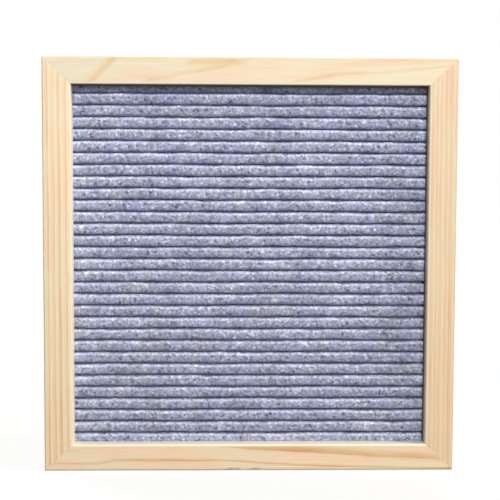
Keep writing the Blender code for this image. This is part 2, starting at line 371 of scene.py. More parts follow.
def moulding(face):
    """The section as (across, depth): across from the outer edge, depth from the front."""
    back = BACK - FRONT
    wall = face - LIP_REACH
    corners = [
        arc_points((ARRIS, ARRIS), ARRIS, 180, 270, 6),
        run_points((ARRIS, 0), (face - ARRIS, 0), 12),
        arc_points((face - ARRIS, ARRIS), ARRIS, 270, 360, 6),
        run_points((face, ARRIS), (face, LIP_DEPTH - LIP_ARRIS), 5),
        arc_points((face - LIP_ARRIS, LIP_DEPTH - LIP_ARRIS), LIP_ARRIS, 0, 90, 2),
        run_points((face - LIP_ARRIS, LIP_DEPTH), (wall, LIP_DEPTH), 3),
        [(wall, LIP_DEPTH)],
        run_points((wall, LIP_DEPTH), (wall, back - BACK_ARRIS), 5),
        arc_points((wall - BACK_ARRIS, back - BACK_ARRIS), BACK_ARRIS, 0, 90, 3),
        run_points((wall - BACK_ARRIS, back), (BACK_ARRIS, back), 6),
        arc_points((BACK_ARRIS, back - BACK_ARRIS), BACK_ARRIS, 90, 180, 3),
        run_points((0, back - BACK_ARRIS), (0, ARRIS), 8),
    ]
    return np.concatenate([np.asarray(part, float).reshape(-1, 2) for part in corners])


def dent(points, at, reach, deep):
    """How far a knock pushes the surface in, in metres: a bell about one place.

    The knock's place and reach, as (along, across, depth), and its depth are in millimetres.
    """
    gap = (points / MM - np.array(at)) / np.array(reach)
    return deep * MM * np.exp(-(gap ** 2).sum(-1))


def member_grid(length, face, other_face, seed, dents=()):
    """Points as (along, across, depth), rows from one mitre to the other.

    Along runs from minus to plus the half length, less the share that the mitre takes at
    that distance across. Wander and dents push the outer surface in towards the middle of
    the wood and never out, so the member keeps to its box.
    """
    section = moulding(face)
    rows = int(length / ROW_SPACING) + 1
    share = np.linspace(-1, 1, rows)[:, None]
    across, depth = (np.broadcast_to(section[:, k], (rows, len(section))) for k in (0, 1))
    half = length / 2 - MITRE_OPEN / 2 - across * other_face / face
    along = share * half
    inset = 0.5 + 0.5 * waves(along, 0.090, 0.004, 7, seed)
    inset = inset * (0.55 + 0.45 * waves(across * 3 + depth * 3, 0.060, 0.012, 3, seed + 1))
    push = WANDER * np.clip(inset, 0, 1)
    for knock in dents:
        push = push + dent(np.stack([along, across, depth], axis=-1), *knock)
    middle = np.array([face / 2, (BACK - FRONT) / 2])
    toward = np.stack([middle[0] - across, middle[1] - depth], axis=-1)
    toward /= np.linalg.norm(toward, axis=-1, keepdims=True)
    on_front = (depth < LIP_DEPTH)[..., None]
    moved = np.stack([across, depth], axis=-1) + np.where(on_front, toward * push[..., None], 0)
    return np.concatenate([along[..., None], moved], axis=-1)


def member(name, side, seed, dents=()):
    """Builds a member from its side of the board: its axis, outer edge and inward sign."""
    axis, outer, inward = side
    sizes = (WIDTH, RAIL_FACE, STILE_FACE) if axis == "X" else (HEIGHT, STILE_FACE, RAIL_FACE)
    along, across, depth = np.moveaxis(member_grid(*sizes, seed, dents), -1, 0)
    edge = outer + across * inward
    deep = FRONT + depth
    place = (MID_X + along, deep, edge) if axis == "X" else (edge, deep, MID_Z + along)
    thing = tube_object(name, np.stack(place, axis=-1))
    thing.data.shade_smooth()
    thing.data.set_sharp_from_angle(angle=SHARP_FROM)
    return thing


# %% Four members
WIDTH, HEIGHT = RIGHT - LEFT, TOP - BOTTOM
MID_X, MID_Z = (LEFT + RIGHT) / 2, (BOTTOM + TOP) / 2
BOTTOM_SIDE, TOP_SIDE = ("X", BOTTOM, 1), ("X", TOP, -1)
LEFT_SIDE, RIGHT_SIDE = ("Z", LEFT, 1), ("Z", RIGHT, -1)
bottom_dents = [
    ((-12.0, 0.3, 0.1), (2.6, 1.2, 1.0), 0.30),
    ((-7.6, 0.4, 0.1), (1.4, 1.0, 0.9), 0.24),
    ((3.6, 0.3, 0.1), (2.2, 1.2, 1.0), 0.30),
    ((126.0, 1.2, 0.1), (1.3, 1.3, 1.0), 0.60),
]
right_dents = [((126.6, 0.6, 0.2), (1.5, 1.4, 1.0), 0.50)]
members = {
    "rail_bottom": member("bottom_rail", BOTTOM_SIDE, 11, bottom_dents),
    "rail_top": member("top_rail", TOP_SIDE, 23),
    "stile_left": member("left_stile", LEFT_SIDE, 37),
    "stile_right": member("right_stile", RIGHT_SIDE, 41, right_dents),
}
print("member faces:", {name: len(o.data.polygons) for name, o in members.items()})

# %% [markdown]
# ## Slots for the fixings
#
# Steel points hold the panel in from behind, folded wedges pull the mitres together, and the
# hanger has two nails. Each is driven into the wood, so the wood needs a slot of its shape.
# The fixing itself is the best pattern for it: a copy, a tenth of a millimetre fatter, is
# taken out of the member. A wedge sits just under the surface, so its copy is drawn out
# backwards until it passes the wood.

# %% Fixing slots
SLOT_EASE = 0.1 * MM
PAST_BACK = 1.0 * MM
MERGE = 0.001 * MM
fixings = [name for name in nodes if name.startswith(("retaining_tab", "v_nail", "hanger_nail"))]


def cutter_mesh(node_name):
    """A fixing's shape, merged, fattened along its normals and drawn out past the back."""
    body = bmesh.new()
    body.from_mesh(nodes[node_name].data)
    bmesh.ops.remove_doubles(body, verts=body.verts, dist=MERGE)
    bmesh.ops.recalc_face_normals(body, faces=body.faces)
    mesh = bpy.data.meshes.new(node_name + "_slot")
    body.to_mesh(mesh)
    body.free()
    points = np.empty((len(mesh.vertices), 3), np.float32)
    normals = np.empty_like(points)
    mesh.vertices.foreach_get("co", points.ravel())
    mesh.vertex_normals.foreach_get("vector", normals.ravel())
    moved = points + normals * SLOT_EASE
    if node_name.startswith("v_nail"):
        moved[moved[:, 1] > points[:, 1].mean(), 1] = BACK + PAST_BACK
    mesh.vertices.foreach_set("co", moved.ravel())
    return mesh


def near(node_name, member_name):
    """Whether a fixing's box reaches into a member's box."""
    (low, high), (least, most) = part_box(node_name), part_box(member_name)
    return all(low[k] < most[k] and high[k] > least[k] for k in range(3))


def cut_slots(thing, names):
    """Takes each named fixing's fattened shape out of a member, one Boolean at a time."""
    for name in names:
        cutter = add_object(name + "_slot", cutter_mesh(name))
        change = thing.modifiers.new(name, "BOOLEAN")
        change.operation = "DIFFERENCE"
        change.solver = "EXACT"
        change.object = cutter
        bpy.context.view_layer.objects.active = thing
        with bpy.context.temp_override(object=thing, active_object=thing):
            bpy.ops.object.modifier_apply(modifier=change.name)
        bpy.data.objects.remove(cutter, do_unlink=True)


for member_name, thing in members.items():
    before = len(thing.data.polygons)
    cut_slots(thing, [name for name in fixings if near(name, member_name)])
    print(thing.name, "faces before and after its slots:", before, len(thing.data.polygons))

# %% [markdown]
# ## Pine
#
# Pine's figure is its growth rings. Each ring goes from pale earlywood to a darker, more
# orange latewood, which stops short where the next year starts. A ready made wood texture
# would repeat itself, and couldn't tell a rail, cut flat to the rings with a few wide slanting
# bands, from a stile, cut across them with straight close lines.
#
# So there are two formulas. `ring_lines` numbers a stile's rings from its outer edge, and the
# fraction of that number sets the tone. `band` is one latewood band of a rail: a few stops say
# how far along it is, how far across, how wide and how strong.

# %% Ring formulas
BAND_REACH = 20 * MM
BAND_TURN = 0.1 * MM


def ring_lines(paint, across, spacing, start, seed):
    """Latewood from 0 to 1 at each ring's end, the rings a fixed spacing apart.

    The tone climbs over the last half of a ring and falls at once. White noise of the
    ring's number makes some years stronger than others.
    """
    count = (across - start) / spacing + 8.0
    rise = [(0.0, 0.45), (0.06, 0.05), (0.50, 0.0), (0.80, 0.35), (0.95, 1.0), (1.0, 0.45)]
    late = paint.number(paint.maths("FRACT", count), rise)
    year = paint.maths("FLOOR", count) + seed
    strong = paint.node("TexWhiteNoise", {"noise_dimensions": "1D"}, {"W": year}, "Value")
    return late * (0.40 + 0.60 * strong)


def band(paint, along, across, length, sharp, stops):
    """One latewood band, 0 to 1: its strength times a bell about its line.

    A stop is (along, across, soft width, strength), lengths in millimetres. The soft side is
    towards the outer edge for a positive sharp width, and inward for a negative one.
    """
    line = [(at * MM / length, (c * MM / BAND_REACH, soft * MM / BAND_REACH, power, 1.0))
            for at, c, soft, power in stops]
    centre, soft, power = paint.split(paint.ramp(along / length, line), "SeparateColor")
    away = across - centre * BAND_REACH
    away = away if sharp > 0 else 0 - away
    widths = (soft * BAND_REACH, abs(sharp) * MM)
    width = paint.span(away, -BAND_TURN, BAND_TURN, *widths, "LINEAR")
    return power * paint.bell(away, 0.0, width)


# %% [markdown]
# ## Where the bands run
#
# The stops follow the photograph. The top rail has a steep streak near its left end, an orange
# patch with a rising lower edge beside it, and a long tan band to the right. The bottom rail
# has a thin line all along, which sinks to the right, and a wide orange band under the ledge.
#
# Each band has one sharp width, and stops of along, across, soft width and strength. Lengths
# are in millimetres.

# %% Listed bands
TOP_BANDS = [
    (2.4, [(25, 18.4, 4.6, 0.3), (30, 14.8, 4.6, 0.52), (36, 8.8, 4.2, 0.56),
     (41, 3.9, 3.8, 0.7), (43.6, 1.5, 3.0, 0.8), (46, -0.8, 2.2, 0.4)]),
    (0.7, [(58, 16.0, 1.6, 0.0), (64, 14.6, 2.2, 0.36), (87, 10.2, 2.4, 0.46),
     (101, 7.6, 2.6, 0.56), (110, 5.9, 2.2, 0.62), (119, 3.2, 1.4, 0.45), (126, 1.6, 0.8, 0.0)]),
    (2.6, [(84, 3.8, 2.2, 0.0), (91, 3.2, 2.8, 0.6), (105, 3.2, 2.8, 0.66),
     (116, 2.7, 2.2, 0.84), (121, 2.2, 1.4, 0.6), (128, 2.0, 0.8, 0.0)]),
    (0.6, [(147, 16.4, 1.0, 0.0), (155, 14.4, 1.5, 0.44), (178, 10.4, 1.9, 0.5),
     (195, 9.4, 1.8, 0.4), (210, 8.9, 1.7, 0.38), (235, 6.4, 1.5, 0.44), (248, 4.4, 1.4, 0.4)]),
    (0.7, [(140, 2.6, 1.0, 0.0), (165, 3.4, 1.1, 0.2), (205, 4.2, 1.1, 0.18),
     (246, 1.8, 1.0, 0.2)]),
]
BOTTOM_BANDS = [
    (-0.5, [(2, 5.0, 0.8, 0.3), (18, 4.4, 0.8, 0.66), (32, 4.4, 0.9, 0.66), (44, 6.3, 1.5, 0.7),
     (71, 6.2, 1.4, 0.74), (112, 5.9, 1.0, 0.86), (128, 4.8, 0.9, 0.9), (155, 3.3, 0.8, 0.82),
     (186, 2.2, 0.9, 0.86), (252, 1.0, 0.9, 0.8)]),
    (-0.7, [(104, 15.4, 0.5, 0.0), (116, 14.8, 0.8, 0.6), (127, 13.6, 2.2, 1.0),
     (145, 12.8, 3.0, 1.0), (163, 11.9, 3.3, 1.0), (186, 10.3, 3.3, 1.0), (211, 8.7, 3.0, 1.0),
     (235, 7.5, 2.8, 1.0), (248, 7.1, 2.5, 0.9)]),
    (-0.5, [(186, 8.6, 0.8, 0.0), (205, 7.6, 1.0, 0.26), (246, 5.4, 1.0, 0.32)]),
    (-0.9, [(4, 13.4, 1.2, 0.0), (12, 12.8, 1.6, 0.3), (22, 12.2, 1.4, 0.26),
     (34, 11.8, 0.9, 0.0)]),
]

# %% [markdown]
# ## The finish of the pine
#
# The four members share the rest of the finish. Slow noise, stretched along the grain, drifts
# between two pale tones. The stiles are deeper and more orange towards their foot: partly the
# wood's own tone, partly painted shade for light that falls off downwards. Fine fibres run the
# whole length. No two years grow alike, so a stile's rings stand unevenly apart.
#
# The walls inside the frame have tones of their own, painted light and painted shade. The ledge
# of the bottom rail and the left stile's wall are painted pale, as painted light. The top rail's
# underside is painted dark brown, and the right stile's wall is painted darker towards the felt,
# both as painted shade. The inner arris carries a pale painted highlight. The outer one is
# darkened by painted shade, in broken stretches, and the knocks on the lower edge are bruised.
# Roughness and bump follow the fibres and the latewood, which is harder than the soft
# earlywood and stands a little proud of it.

# %% Pine
CREAM, PEACH = colour(235, 225, 196), colour(240, 216, 188)
WARM_CREAM, WARM_PEACH = colour(243, 229, 196), colour(248, 220, 187)
TAN_CREAM, TAN_PEACH = colour(245, 224, 190), colour(251, 217, 185)
GREY_CREAM, GREY_PEACH = colour(227, 209, 178), colour(231, 200, 170)
EARLY = colour(255, 240, 208)
LATE = colour(228, 191, 141)
DEEP = colour(214, 163, 114)
# Painted highlight on the inner arris, then wall tones: painted light and painted shade.
ARRIS_HIGHLIGHT = colour(255, 247, 228)
LIT_WALL_PAINT = (colour(255, 246, 226), colour(255, 246, 226), 0.30)
LIT_LEDGE_PAINT = (colour(236, 232, 214), colour(236, 232, 214), 0.75)
SHADED_WALL = (colour(72, 55, 38), colour(72, 55, 38), 0.70)
SHADED_FOOT_WALL = (colour(250, 228, 196), colour(104, 76, 66), 0.50)
# Painted shade on the outer arris, strongest on the left and bottom members.
EDGE_SHADE_TONE = colour(158, 142, 130)
BRUISED = colour(124, 106, 76)
DEEP_FOOT = colour(236, 203, 160)
EARLY_LINES = [(0.0, 0.0), (0.14, 1.0), (0.34, 0.7), (0.60, 0.0)]
FIBRE_LENGTH = 18 * MM
FIBRE_WIDTH = 0.45 * MM
RAIL_RINGS = 5.2 * MM
RAIL_LEAN = 0.012


def ring_figure(paint, along, across, seed, lines):
    """Latewood and pale lines from 0 to 1, before the listed bands.

    A stile's rings lean a little, stand unevenly apart by noise, and grow stronger towards
    its foot. A rail, cut flat to the rings, shows only a trace of them.
    """
    if not lines:
        late = ring_lines(paint, across - along * RAIL_LEAN, RAIL_RINGS, 0.0, seed) * 0.12
        return late, late * 0.5
    spacing, start, lean, strength = lines
    uneven = paint.noise(paint.join(across, seed, 0.0), 260.0, 1.0) - 0.5
    across = across + along * lean + uneven * spacing * 1.3
    late = ring_lines(paint, across, spacing, start, seed) * strength
    late = late * paint.span(along, 0.0, HEIGHT, 1.30, 0.90, "LINEAR")
    early = paint.maths("FRACT", (across - start) / spacing + 8.0)
    return late, paint.number(early, EARLY_LINES) * strength


def add_walls(paint, wood, edge, depth, face, wall):
    """The wood with its painted wall inside the frame and a painted highlight on the arris
    in front of that wall.

    The wall's painted tone, painted light on some walls and painted shade on others, goes from
    one near the member's face to another near the felt. The arris is paler by a share, as a
    painted highlight, which fades within its first millimetre of depth.
    """
    open_tone, foot_tone, highlight_share = wall
    # Painted highlight on the inner arris, and each wall's painted tone of light and shade.
    arris = paint.span(edge, face - 1.5 * MM, face - 0.8 * MM)
    painted_highlight = arris * paint.span(depth, 0.3 * MM, 1.2 * MM, highlight_share, 0.0)
    inside = paint.mix(paint.span(depth, 2.5 * MM, 6.0 * MM), open_tone, foot_tone)
    walls = paint.span(edge, face - 0.45 * MM, face - 0.05 * MM)
    walls = walls * paint.span(depth, 0.3 * MM, 1.0 * MM)
    return paint.mix(walls * 0.92, paint.mix(painted_highlight, wood, ARRIS_HIGHLIGHT), inside)


def add_edge_shade_and_bruises(paint, wood, along, edge, depth, edge_shade, bruises):
    """The wood with painted shade on its outer arris, in stretches that slow noise breaks,
    and with bruises.

    A bruise is a bell along the member, and fades 2 mm from the edge.
    """
    breakup = paint.noise(paint.join(along, edge, depth), 160.0, 2.0)
    # Painted shade along the outer arris, broken into stretches by slow noise.
    rim = paint.span(edge, 0.40 * MM, 1.10 * MM, 1.0, 0.0)
    rim = rim * paint.span(depth, 0.35 * MM, 1.20 * MM, 1.0, 0.0)
    edge_shading = rim * paint.span(breakup, 0.34, 0.60, 0.55, 1.0) * edge_shade
    rough = paint.noise(paint.join(along, edge * 1.5, depth), 1400.0, 2.0)
    bruised = 0.0
    for at, reach, strength in bruises:
        close = paint.bell(along, at * MM, reach * MM)
        bruise = close * paint.span(edge, 0.5 * MM, 2.0 * MM, 1.0, 0.0) * strength
        bruised = paint.maths("MAXIMUM", bruised, bruise * paint.span(rough, 0.38, 0.52))
    return paint.mix(bruised, paint.mix(edge_shading, wood, EDGE_SHADE_TONE), BRUISED)


def pine(name, side, seed, pales, wall, bands=(), lines=None, drift=0.0, edge_shade=0.5, bruises=()):
    """Pine whose grain runs along X or Z.

    Along is measured from the board's left or bottom edge, and edge from the member's outer
    edge. Across is the edge distance, bent by slow noise, plus a share of the depth, so that
    the narrow sides show the same rings from another side. Pales are the two earlywood
    tones, and lines are (spacing, start, lean, strength) for a stile. A wall is (painted tone
    near the face, painted tone near the felt, share of the painted arris highlight): painted
    light on the left stile and the ledge, painted shade on the others. Drift deepens a stile's
    foot, partly as painted shade. Edge shade is the strength of the painted shade on the outer
    arris.
    """
    paint = Paint(name, Roughness=0.55, Specular_IOR_Level=0.15)
    axis, outer, inward = side
    face = RAIL_FACE if axis == "X" else STILE_FACE
    x, y, z = paint.split(paint.place())
    depth = y - FRONT
    along, edge = (x - LEFT, z - outer) if axis == "X" else (z - BOTTOM, x - outer)
    edge = edge * inward
    slow = paint.join(along * 0.30 + seed, edge * 1.6, depth * 1.6)
    wander = paint.noise(slow, 70.0, 3.0) - 0.5
    across = edge + depth * 0.55 + wander * 1.6 * MM
    late, early = ring_figure(paint, along, across, seed, lines)
    for sharp, stops in bands:
        late = paint.maths("MAXIMUM", late, band(paint, along, across, WIDTH, sharp, stops))
    broken = paint.noise(paint.join(along * 0.5, edge * 5 + seed, depth * 5), 110.0, 2.0)
    late = paint.maths("MINIMUM", late * (0.62 + 0.76 * broken), 1.0)
    tone = paint.noise(paint.join(along * 0.45, edge * 2.4, depth * 2.4 + seed), 45.0, 3.0)
    base = paint.mix(paint.span(tone, 0.40, 0.60), *pales)
    # Deeper towards a stile's foot: partly the wood's own tone, partly painted shade for light
    # falling off.
    base = paint.mix(paint.span(along, 0.0, HEIGHT, drift, 0.0, "LINEAR"), base, DEEP_FOOT)
    base = paint.mix(early * 0.6, base, EARLY)
    wood = paint.mix(late, base, paint.mix(paint.span(tone, 0.4, 0.7), LATE, DEEP))
    stretched = paint.join(along / FIBRE_LENGTH, (edge + seed) / FIBRE_WIDTH, depth / FIBRE_WIDTH)
    fibres = paint.noise(stretched, 1.0, 3.0, 0.6)
    fine = paint.number(fibres, [(0.25, 0.91), (0.5, 1.0), (0.75, 1.06)])
    wood = add_walls(paint, paint.tint(wood, fine), edge, depth, face, wall)
    paint.set("Base Color", add_edge_shade_and_bruises(paint, wood, along, edge, depth, edge_shade, bruises))
    paint.set("Roughness", 0.52 + 0.16 * fibres - 0.08 * late)
    paint.bump(fibres * 0.6 + late * 0.4, 0.05 * MM, 0.6)
    return paint.material


BOTTOM_BRUISES = [(115.0, 2.6, 0.95), (119.5, 1.6, 0.7), (130.6, 2.6, 0.95), (251.6, 1.0, 0.7)]
# Edge shade sets the strength of each member's painted shade on its outer arris.
woods = {
    "rail_bottom": pine(
        "bottom_pine", BOTTOM_SIDE, 3.0, (TAN_CREAM, TAN_PEACH), LIT_LEDGE_PAINT,
        bands=BOTTOM_BANDS, edge_shade=0.55, bruises=BOTTOM_BRUISES,
    ),
    "rail_top": pine(
        "top_pine", TOP_SIDE, 7.0, (CREAM, PEACH), SHADED_WALL, bands=TOP_BANDS, edge_shade=0.05,
    ),
    "stile_left": pine(
        "left_pine", LEFT_SIDE, 11.0, (WARM_CREAM, WARM_PEACH), LIT_WALL_PAINT,
        lines=(3.6 * MM, 0.5 * MM, 0.002, 0.90), drift=0.65, edge_shade=0.66,
    ),
    "stile_right": pine(
        "right_pine", RIGHT_SIDE, 17.0, (GREY_CREAM, GREY_PEACH), SHADED_FOOT_WALL,
        lines=(2.9 * MM, 1.0 * MM, -0.004, 0.48), drift=0.60, edge_shade=0.35,
        bruises=[(252.6, 1.2, 0.7)],
    ),
}
for name, thing in members.items():
    thing.data.materials.append(woods[name])
    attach(thing, "root")
    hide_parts(name)
print("pine nodes:", {name: len(m.node_tree.nodes) for name, m in woods.items()})

# %% [markdown]
# ## The felt sheet
#
# The felt is one sheet, glued over a grooved board and pushed down into each groove. Seen from
# the side its line goes over a ridge, down one wall of a slot, and up the other. That line is
# one profile of depth against height. Copies of it side by side make the surface, and small
# waves along the board move each slot up, down, wider or narrower, because soft felt never
# follows a groove exactly.
#
# Cloth simulation is no help here: the sheet is glued down, so its shape is the groove's. The
# ridge is part of a superellipse, which is a rounded box: nearly flat in the middle, turning
# faster towards the slot. The sheet's back turns more tightly, on the board's square ridges.

# %% Felt shape
FELT = 1.0 * MM
SLOT = 0.8 * MM
SLOT_DEPTH = FELT_BACK - FELT - CREST
FRONT_TURN = (1.8 * MM, 2.5)
BACK_TURN = (0.45 * MM, 4.0)
SWELL = 0.09 * MM
FOLD_PITCH = 7.32 * MM
SLOT_COUNT = 30
SLOTS_MIDDLE = 127.9 * MM
FIRST_SLOT = SLOTS_MIDDLE - (SLOT_COUNT - 1) / 2 * FOLD_PITCH
FELT_COLUMNS = 155
slot_heights = FIRST_SLOT + FOLD_PITCH * np.arange(SLOT_COUNT)


def slot_wobble(x):
    """Each slot's drift up or down and its half width, as rows of slots by columns."""
    drift = np.array([waves(x, 0.120, 0.004, 8, 100 + k) for k in range(SLOT_COUNT)])
    width = np.array([waves(x, 0.040, 0.004, 6, 200 + k) for k in range(SLOT_COUNT)])
    return 0.18 * MM * drift, np.clip(0.5 * SLOT * (1 + 0.42 * width), 0.15 * MM, 0.70 * MM)


def rounding(t, power):
    """How far a superellipse has dropped at t: 1 - (1 - |t| ^ n) ^ (1 / n)."""
    return 1 - np.maximum(1 - np.abs(t) ** power, 0) ** (1 / power)


def ridge(low, high, behind, turn, swell, shares):
    """One ridge for every column at once, as depth and height arrays of points by columns.

    A share t goes from -1 at the lower slot to 1 at the upper one. The ridge drops back by
    its rounding times the turn's depth, and its middle by a small swell.
    """
    t = np.asarray(shares)[:, None]
    deep, power = turn
    depth = CREST + behind + (1 - t * t) * swell + deep * rounding(t, power)
    return depth, (low + high) / 2 + t * (high - low) / 2


def ridge_swell(x, row):
    """How far each ridge's middle stands back: a small swell that wanders along the board."""
    return SWELL * (1 + waves(x, 0.060, 0.006, 6, 300 + row))


def felt_face(x, behind, turn, count):
    """The folded face for columns x, a distance behind the felt's front.

    The lowest and highest ridge are half ridges that end, at their crest, at the sheet's own
    end. Every other ridge starts and ends on a slot's floor.
    """
    drift, half = slot_wobble(x)
    edges = slot_heights[:, None] + drift
    floor = np.full((1, len(x)), CREST + SLOT_DEPTH + behind)
    shares = np.sin(np.linspace(-0.5, 0.5, count) * np.pi)
    depths, heights, folds = [], [], []
    for row in range(SLOT_COUNT + 1):
        first, last = row == 0, row == SLOT_COUNT
        high = 2 * felt_high.z - edges[-1] - half[-1] if last else edges[row] - half[row]
        low = 2 * felt_low.z - edges[0] + half[0] if first else edges[row - 1] + half[row - 1]
        part = shares[shares > -0.01] if first else shares[shares < 0.01] if last else shares
        swell = ridge_swell(x, row)
        depth, height = ridge(low + behind, high - behind, behind, turn, swell, part)
        wide = ((high - low) / (FOLD_PITCH - SLOT)).mean()
        fold = 1 - (1 - part) * wide if first else (1 + part) * wide - 1 if last else part
        depths += [depth] if first else [floor, depth]
        heights += [height] if first else [height[:1], height]
        depths += [] if last else [floor]
        heights += [] if last else [height[-1:]]
        folds += ([] if first else [[-1.0]]) + [fold] + ([] if last else [[1.0]])
    return np.concatenate(depths), np.concatenate(heights), np.concatenate(folds)


def felt_object():
    """A closed sheet: the front face and the back face, joined round all four sides."""
    x = np.linspace(felt_low.x, felt_high.x, FELT_COLUMNS)
    front = felt_face(x, 0.0, FRONT_TURN, 11)
    back = felt_face(x, FELT, BACK_TURN, 5)
    depth, height, fold = (np.concatenate([f, b[::-1]]) for f, b in zip(front, back))
    grid = np.stack([np.broadcast_to(x, depth.shape), depth, height], axis=-1)
    thing = tube_object("felt", np.swapaxes(grid, 0, 1))
    share = thing.data.attributes.new("fold", "FLOAT", "POINT")
    share.data.foreach_set("value", np.tile(fold, len(x)).astype(np.float32))
    steps = [np.diff(np.stack(face[:2], axis=-1)[:, 0], axis=0) for face in (front, back)]
    length = sum(float(np.linalg.norm(step, axis=1).sum()) for step in steps) / 2
    return thing, length


felt, felt_length = felt_object()
felt.data.shade_smooth()

# %% [markdown]
# ## Felt
#
# Felt is a mat of loose fibres of several greys, with a lavender cast. At this distance that
# is a mottle: flecks a millimetre or two across, light and dark. One noise gives the flecks,
# and three more, each drawn out at its own angle, give the matted strands. They are added and
# turned into tones by a ramp. Two finer noises, drawn out much further, are single hairs that
# cross each other. Dark fibres come in clusters, and a slow drift makes some stretches paler.
#
# Each ridge carries a painted highlight along its upper shoulder, in a line that the strands
# break. Its foot, next to the slot below, is painted darker and bluer, as painted shade. The
# slots are painted darker still, as painted shade, more towards the lower right, and the sheet
# is painted a little darker towards the bottom. The mesh carries the place across the ridge
# as an attribute, -1 at the lower slot and 1 at the upper one, so that these lines follow
# every slot's wobble. The surface has no shine, but the fibres that stand up give it a soft
# edge light, which is what the sheen is for.

# %% Felt material
FELT_DARK = colour(70, 74, 104)
FELT_MID = colour(162, 168, 192)
FELT_LIGHT = colour(238, 243, 255)
DARK_FIBRE = colour(72, 76, 104)
# Painted highlight for the shoulders, painted shade for the ridge feet and for the slots.
SHOULDER_HIGHLIGHT = colour(222, 225, 248)
FOOT_SHADE = colour(88, 92, 150)
SLOT_SHADE = colour(28, 31, 78)
MOTTLE = [(0.375, FELT_DARK), (0.48, FELT_MID), (0.52, FELT_MID), (0.645, FELT_LIGHT)]
WARM_TINT, COOL_TINT = colour(255, 254, 251), colour(247, 248, 255)
STRANDS = [(24, 820.0), (-41, 900.0), (97, 760.0)]
HAIRS = [(12, 2600.0), (-63, 2900.0)]
STRAND_DRAW, HAIR_DRAW = 0.34, 0.12
SHOULDER, SHOULDER_REACH = 0.62, 0.20
FOOT_LINE, FOOT_REACH = -0.88, 0.26


def strands(paint, x, y, z, degrees, scale, draw=STRAND_DRAW):
    """Noise drawn out, 1 / draw times, into strands that lie at an angle on the board's face."""
    c, s = math.cos(math.radians(degrees)), math.sin(math.radians(degrees))
    lengthwise, crosswise = x * c + z * s, z * c - x * s
    return paint.noise(paint.join(lengthwise * draw, y, crosswise), scale, 2.0, 0.55, 0.6)


def felt_mottle(paint, place, flecks, mat):
    """The mat's tones from flecks and strands, with clusters of dark fibres in it.

    Small specks show in full only where a slow noise makes a patch of them.
    """
    x, y, z = paint.split(place)
    mottle = flecks * 0.36 + (mat[0] + mat[1] + mat[2]) * 0.24 - 0.04
    specks = paint.noise(paint.join(x * 0.8, y, z * 1.2), 850.0, 3.0, 0.6, 1.8)
    patches = paint.noise(place, 130.0, 2.0, 0.5, 0.5)
    dark = paint.span(specks, 0.53, 0.66) * paint.span(patches, 0.42, 0.62, 0.15, 0.75)
    return paint.mix(dark, paint.ramp(mottle, MOTTLE), DARK_FIBRE)


def ridge_tones(paint, matted, x, z, fold, shoulder_highlight):
    """The mat with a ridge's painted highlight, and painted shade at its foot and in its slots.

    The foot is a bell about a place low on the ridge, painted darker and bluer. The painted
    shade in the slots grows down and to the right.
    """
    foot = paint.bell(fold, FOOT_LINE, FOOT_REACH)
    gap = paint.span(fold * fold, 0.80, 0.98)
    # Painted shade in the slots, growing down and to the right.
    slot_shade_share = (TOP - z) * (0.55 / HEIGHT) + (x - LEFT) * (0.25 / WIDTH) - 0.08
    # Painted highlight on each ridge's upper shoulder.
    matted = paint.mix(shoulder_highlight * 0.30, matted, SHOULDER_HIGHLIGHT)
    # Painted shade, darker and bluer, along each ridge's foot.
    matted = paint.mix(foot * 0.40, matted, FOOT_SHADE)
    return paint.mix(gap * slot_shade_share, matted, SLOT_SHADE)


def felt_material():
    """Heathered felt: mottle, ridge tones, a slow drift of tone and tint, and fibre relief.

    The shoulder highlight, a bell about a place high on the ridge, is a painted highlight on the
    pale shoulder. A strand breaks it. The sheet is painted darker towards the bottom, as
    painted shade.
    """
    sheen = {"Sheen_Weight": 0.25, "Sheen_Roughness": 0.6}
    paint = Paint("heather_felt", Roughness=0.95, Specular_IOR_Level=0.15, **sheen)
    place = paint.place()
    x, y, z = paint.split(place)
    flecks = paint.noise(paint.join(x, y * 1.2, z * 1.1), 540.0, 2.0, 0.55, 0.7)
    mat = [strands(paint, x, y, z, turn, scale) for turn, scale in STRANDS]
    hairs = [strands(paint, x, y, z, turn, scale, HAIR_DRAW) for turn, scale in HAIRS]
    tangle = (hairs[0] + hairs[1]) * 0.5
    fold = paint.node("Attribute", {"attribute_name": "fold"}, output="Fac")
    # The painted highlight on the upper shoulder, broken by a strand.
    shoulder_highlight = paint.bell(fold, SHOULDER, SHOULDER_REACH) * (1.0 + (mat[1] - 0.5) * 2.2)
    matted = felt_mottle(paint, place, flecks, mat)
    matted = ridge_tones(paint, matted, x, z, fold, shoulder_highlight)
    cloud = paint.noise(paint.join(x, y, z * 1.6), 42.0, 3.0, 0.6)
    drift = paint.number(cloud, [(0.3, 0.86), (0.7, 1.18)])
    # Painted shade: the felt is darker towards the bottom.
    lower = paint.span(z, BOTTOM, TOP, 0.895, 1.0, "LINEAR")
    combed = paint.span(tangle, 0.36, 0.64, 0.84, 1.17, "LINEAR")
    shade = drift * lower * (1.075 + 0.28 * shoulder_highlight) * combed
    cool = paint.noise(place, 75.0, 2.0, 0.5)
    tint = paint.mix(paint.span(cool, 0.4, 0.6), WARM_TINT, COOL_TINT)
    tinted = paint.mix(1.0, matted, tint, "MULTIPLY")
    paint.set("Base Color", paint.tint(tinted, shade))
    fine = paint.noise(place, 1300.0, 2.0, 0.6, 1.0)
    fuzz = paint.noise(place, 2600.0, 3.0, 0.7, 0.8)
    paint.bump(flecks * 0.5 + fine * 0.2 + tangle * 0.6 + fuzz * 0.3, 0.50 * MM, 0.9)
    return paint.material


felt.data.materials.append(felt_material())

# %% [markdown]
# ## Loose fibres
#
# Felt is never quite smooth: single fibres stand off it in low arches, and some of them bridge
# a slot, which makes the slot's edge look soft. A particle system could grow them, but it
# would not stay on the ridges once it is exported. Here each fibre is a tiny pointed tube of
# five points that follows the ridge's own formula, so it can't leave the surface.

